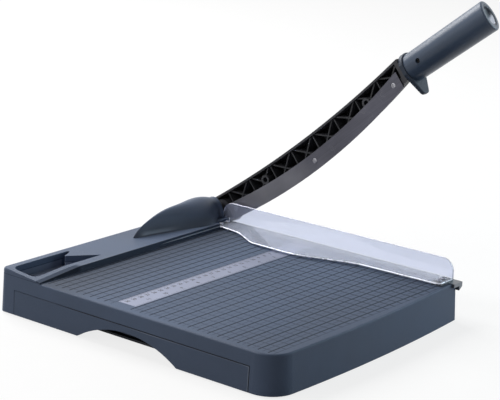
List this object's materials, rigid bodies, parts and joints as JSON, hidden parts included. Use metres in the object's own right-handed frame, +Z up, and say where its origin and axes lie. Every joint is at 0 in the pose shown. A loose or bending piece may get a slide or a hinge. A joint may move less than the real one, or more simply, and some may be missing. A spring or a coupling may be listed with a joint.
{
  "type": "paper trimmer",
  "caption": "Desk paper trimmer with a ribbed swinging blade arm, round grip, clear blade guard, gridded deck with an inlaid scale, tray pocket and a pull-out side drawer",
  "frame": {"origin": "under the middle of the whole trimmer at rest, on the surface that its feet stand on", "axes": "+X from the drawer side to the cutting side, +Y from the user to the pivot, +Z up"},
  "size_m": [0.362, 0.382, 0.3423],
  "materials": {
    "base_plastic": "fine grained satin moulding",
    "drawer_plastic": "fine grained satin moulding",
    "inner_plastic": "matt moulding",
    "arm_plastic": "satin ribbed moulding",
    "grip_plastic": "satin moulding",
    "blade_steel": "ground along its length",
    "knife_steel": "ground along its length",
    "plated_steel": "bright zinc plate",
    "clear_plastic": "clear and polished",
    "scale_metal": "satin anodised and printed",
    "rubber": "matt",
    "brass": "turned"
  },
  "bodies": {
    "base": {"base_shell": "base_plastic", "bottom_plate": "inner_plastic", "plate_screws": "plated_steel", "rubber_feet": "rubber", "lower_knife": "knife_steel", "knife_screws": "plated_steel", "ruler_strip": "scale_metal", "blade_guard": "clear_plastic", "guard_pad": "clear_plastic", "guard_screws": "plated_steel", "pivot_hood": "base_plastic", "hood_screws": "plated_steel", "pivot_bracket": "plated_steel", "bracket_screws": "plated_steel", "pivot_bolt": "plated_steel", "pivot_washer": "plated_steel", "pivot_spacer": "plated_steel", "disc_springs": "plated_steel", "pivot_nut": "plated_steel", "runner_front": "inner_plastic", "runner_back": "inner_plastic"},
    "arm": {"arm_beam": "arm_plastic", "pivot_bush": "brass", "upper_blade": "blade_steel", "blade_screws": "plated_steel", "blade_inserts": "brass", "finger_guard": "grip_plastic", "grip": "grip_plastic", "grip_screw": "plated_steel", "end_plug": "grip_plastic"},
    "drawer": {"drawer": "drawer_plastic"}
  },
  "joints": [
    {"name": "arm_hinge", "type": "hinge", "parent": "base", "child": "arm", "pos_m": [0.14665, 0.15946, 0.0525], "axis": [-1, 0, 0], "range_deg": [-41, 25]},
    {"name": "drawer_slide", "type": "slide", "parent": "base", "child": "drawer", "axis": [-1, 0, 0], "range_m": [0, 0.17]}
  ]
}
